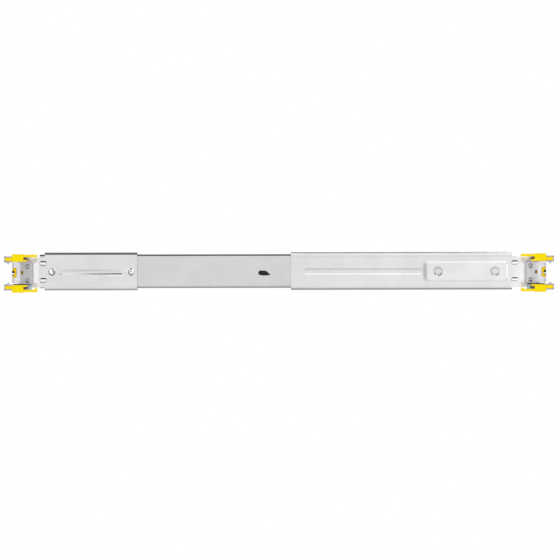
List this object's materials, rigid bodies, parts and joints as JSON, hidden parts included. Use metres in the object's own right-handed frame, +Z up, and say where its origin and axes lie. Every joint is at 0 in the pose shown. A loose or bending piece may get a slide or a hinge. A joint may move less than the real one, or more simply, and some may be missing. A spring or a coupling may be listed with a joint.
{
  "type": "sliding server rail",
  "caption": "Adjustable sliding server rail: full-extension ball-race slide between two toolless rack heads with yellow release slides and sprung latch hooks.",
  "frame": {"origin": "centre of the front screw hole on the front flange face, at the middle of one rack unit's hole pattern", "axes": "+X along the rail towards the rear rack post, -Y outboard towards the rack post, +Y towards the server, +Z up"},
  "size_m": [0.5986, 0.0239, 0.0438],
  "materials": {
    "zinc_steel": "bright zinc-plated rolled steel",
    "dull_steel": "plain zinc-plated steel",
    "polished_steel": "polished hardened steel",
    "yellow_plastic": "satin moulded yellow plastic",
    "black_plastic": "black acetal",
    "spring_steel": "spring wire"
  },
  "bodies": {
    "front_frame": {"front_channel": "zinc_steel", "outer_slide_member": "zinc_steel", "channel_rivets": "zinc_steel", "closed_stop_bumper": "black_plastic", "front_slide_pad": "black_plastic", "front_wear_strip": "black_plastic", "front_prong_bracket": "zinc_steel", "front_end_plate": "dull_steel", "front_insert_holder": "yellow_plastic", "front_threaded_insert": "polished_steel", "front_locating_peg": "yellow_plastic", "front_head_rivets": "zinc_steel", "front_hook_pins": "dull_steel", "front_upper_return_spring": "spring_steel", "front_lower_return_spring": "spring_steel"},
    "rear_frame": {"rear_channel": "zinc_steel", "rear_end_buffer": "black_plastic", "rear_wear_strip": "black_plastic", "glide_strip": "black_plastic", "glide_rivets": "zinc_steel", "rear_prong_bracket": "zinc_steel", "rear_end_plate": "dull_steel", "rear_insert_holder": "yellow_plastic", "rear_threaded_insert": "polished_steel", "rear_locating_peg": "yellow_plastic", "rear_head_rivets": "zinc_steel", "rear_hook_pins": "dull_steel", "rear_upper_return_spring": "spring_steel", "rear_lower_return_spring": "spring_steel"},
    "outer_cage": {"outer_ball_cage": "black_plastic", "outer_balls": "polished_steel"},
    "middle_member": {"middle_slide_member": "zinc_steel"},
    "inner_cage": {"inner_ball_cage": "black_plastic", "inner_balls": "polished_steel"},
    "inner_member": {"inner_slide_member": "zinc_steel", "lever_rivet": "zinc_steel"},
    "disconnect_lever": {"disconnect_lever": "black_plastic"},
    "front_upper_release": {"front_upper_release_slide": "yellow_plastic"},
    "front_upper_hook": {"front_upper_latch_hook": "dull_steel"},
    "front_lower_release": {"front_lower_release_slide": "yellow_plastic"},
    "front_lower_hook": {"front_lower_latch_hook": "dull_steel"},
    "rear_upper_release": {"rear_upper_release_slide": "yellow_plastic"},
    "rear_upper_hook": {"rear_upper_latch_hook": "dull_steel"},
    "rear_lower_release": {"rear_lower_release_slide": "yellow_plastic"},
    "rear_lower_hook": {"rear_lower_latch_hook": "dull_steel"}
  },
  "joints": [
    {"name": "rear_extension", "type": "slide", "parent": "front_frame", "child": "rear_frame", "axis": [1, 0, 0], "range_m": [-0.04, 0.115]},
    {"name": "middle_slide", "type": "slide", "parent": "front_frame", "child": "middle_member", "axis": [-1, 0, 0], "range_m": [0, 0.34]},
    {"name": "outer_cage_roll", "type": "slide", "parent": "front_frame", "child": "outer_cage", "axis": [-1, 0, 0], "range_m": [0, 0.17]},
    {"name": "inner_slide", "type": "slide", "parent": "middle_member", "child": "inner_member", "axis": [-1, 0, 0], "range_m": [0, 0.3]},
    {"name": "inner_cage_roll", "type": "slide", "parent": "middle_member", "child": "inner_cage", "axis": [-1, 0, 0], "range_m": [0, 0.15]},
    {"name": "disconnect_lever_pivot", "type": "hinge", "parent": "inner_member", "child": "disconnect_lever", "pos_m": [0.345, 0.0137, 0.0022], "axis": [0, 1, 0], "range_deg": [0, 10], "stiffness_Nm_per_rad": 0.02},
    {"name": "front_upper_release_travel", "type": "slide", "parent": "front_frame", "child": "front_upper_release", "axis": [1, 0, 0], "range_m": [0, 0.006], "stiffness_N_per_m": 400, "springref_m": -0.002, "deforming": ["front_upper_return_spring"]},
    {"name": "front_upper_hook_pivot", "type": "hinge", "parent": "front_frame", "child": "front_upper_hook", "pos_m": [0.015, 0.0027, 0.0153], "axis": [0, 1, 0], "range_deg": [0, 5.5]},
    {"name": "front_lower_release_travel", "type": "slide", "parent": "front_frame", "child": "front_lower_release", "axis": [1, 0, 0], "range_m": [0, 0.006], "stiffness_N_per_m": 400, "springref_m": -0.002, "deforming": ["front_lower_return_spring"]},
    {"name": "front_lower_hook_pivot", "type": "hinge", "parent": "front_frame", "child": "front_lower_hook", "pos_m": [0.015, 0.0027, -0.0153], "axis": [0, -1, 0], "range_deg": [0, 5.5]},
    {"name": "rear_upper_release_travel", "type": "slide", "parent": "rear_frame", "child": "rear_upper_release", "axis": [-1, 0, 0], "range_m": [0, 0.006], "stiffness_N_per_m": 400, "springref_m": -0.002, "deforming": ["rear_upper_return_spring"]},
    {"name": "rear_upper_hook_pivot", "type": "hinge", "parent": "rear_frame", "child": "rear_upper_hook", "pos_m": [0.5662, 0.0027, 0.0153], "axis": [0, -1, 0], "range_deg": [0, 5.5]},
    {"name": "rear_lower_release_travel", "type": "slide", "parent": "rear_frame", "child": "rear_lower_release", "axis": [-1, 0, 0], "range_m": [0, 0.006], "stiffness_N_per_m": 400, "springref_m": -0.002, "deforming": ["rear_lower_return_spring"]},
    {"name": "rear_lower_hook_pivot", "type": "hinge", "parent": "rear_frame", "child": "rear_lower_hook", "pos_m": [0.5662, 0.0027, -0.0153], "axis": [0, 1, 0], "range_deg": [0, 5.5]}
  ],
  "couplings": [
    {"joint": "outer_cage_roll", "follows": "middle_slide", "ratio": 0.5},
    {"joint": "inner_cage_roll", "follows": "inner_slide", "ratio": 0.5},
    {"joint": "front_upper_hook_pivot", "follows": "front_upper_release_travel", "rad_per_m": 15.983},
    {"joint": "front_lower_hook_pivot", "follows": "front_lower_release_travel", "rad_per_m": 15.983},
    {"joint": "rear_upper_hook_pivot", "follows": "rear_upper_release_travel", "rad_per_m": 15.983},
    {"joint": "rear_lower_hook_pivot", "follows": "rear_lower_release_travel", "rad_per_m": 15.983}
  ]
}
